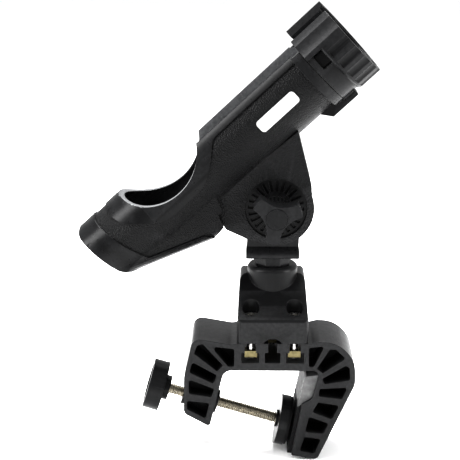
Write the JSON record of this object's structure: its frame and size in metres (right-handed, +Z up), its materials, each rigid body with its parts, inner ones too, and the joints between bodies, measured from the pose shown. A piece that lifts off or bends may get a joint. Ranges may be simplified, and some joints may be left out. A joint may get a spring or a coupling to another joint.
{
  "type": "clamp-on fishing rod holder",
  "caption": "Open-top tube rod holder with lock ring and scooped rear, tilting on a swivel post in a socket bolted to a screw C-clamp.",
  "frame": {"origin": "middle of the clamp throat's upper face, which rests on the rail or board", "axes": "+X from the screw leg towards the fixed jaw, +Y from the knob side to the back, +Z up along the post"},
  "size_m": [0.1979, 0.0729, 0.3009],
  "materials": {
    "black_nylon": "moulded black nylon with a fine pebble grain",
    "smooth_nylon": "smooth satin black nylon",
    "clamp_nylon": "dark grey glass-filled nylon, satin",
    "jaw_rubber": "dark rubber",
    "zinc_steel": "zinc-plated steel",
    "bright_steel": "stainless steel",
    "yellow_brass": "yellowish plated metal",
    "badge_white": "plain pale label"
  },
  "bodies": {
    "clamp": {"clamp_frame": "clamp_nylon", "jaw_grip": "jaw_rubber", "bushing_nut": "yellow_brass", "bushing_flange": "smooth_nylon", "post_socket": "clamp_nylon", "socket_bolts": "bright_steel", "bolt_washers": "bright_steel", "slot_nuts": "yellow_brass"},
    "pad": {"pressure_pad": "smooth_nylon", "pad_facing": "jaw_rubber"},
    "screw": {"clamp_screw": "zinc_steel", "thumb_knob": "smooth_nylon", "thumb_insert": "yellow_brass"},
    "post": {"post_body": "smooth_nylon"},
    "holder": {"holder_shell": "black_nylon", "badge_plate": "badge_white", "tilt_bolt": "bright_steel", "bolt_cap": "smooth_nylon", "knob_washer": "bright_steel"},
    "knob": {"tilt_knob": "smooth_nylon", "knob_nut": "yellow_brass", "knob_cap": "smooth_nylon", "knob_hub": "smooth_nylon"},
    "ring": {"lock_ring": "smooth_nylon"}
  },
  "joints": [
    {"name": "screw_feed", "type": "slide", "parent": "clamp", "child": "pad", "axis": [0.9588, 0, -0.284], "range_m": [-0.04, 0.001]},
    {"name": "screw_turn", "type": "hinge", "parent": "pad", "child": "screw", "pos_m": [-0.06, 0, -0.0246], "axis": [0.9588, 0, -0.284], "range_deg": [-10206, 256]},
    {"name": "post_swivel", "type": "hinge", "parent": "clamp", "child": "post", "pos_m": [0, 0.014, 0.045], "axis": [0, 0, 1], "continuous": true},
    {"name": "holder_tilt", "type": "hinge", "parent": "post", "child": "holder", "pos_m": [0.0018, 0.014, 0.1057], "axis": [0, 1, 0], "range_deg": [-10, 50]},
    {"name": "knob_turn", "type": "hinge", "parent": "holder", "child": "knob", "pos_m": [0.0018, -0.02, 0.1057], "axis": [0, 1, 0], "continuous": true},
    {"name": "ring_turn", "type": "hinge", "parent": "holder", "child": "ring", "pos_m": [0.03673, 0.014, 0.20741], "axis": [0.7302, 0, 0.6833], "range_deg": [0, 90]}
  ],
  "couplings": [
    {"joint": "screw_turn", "follows": "screw_feed", "rad_per_m": 4453}
  ]
}
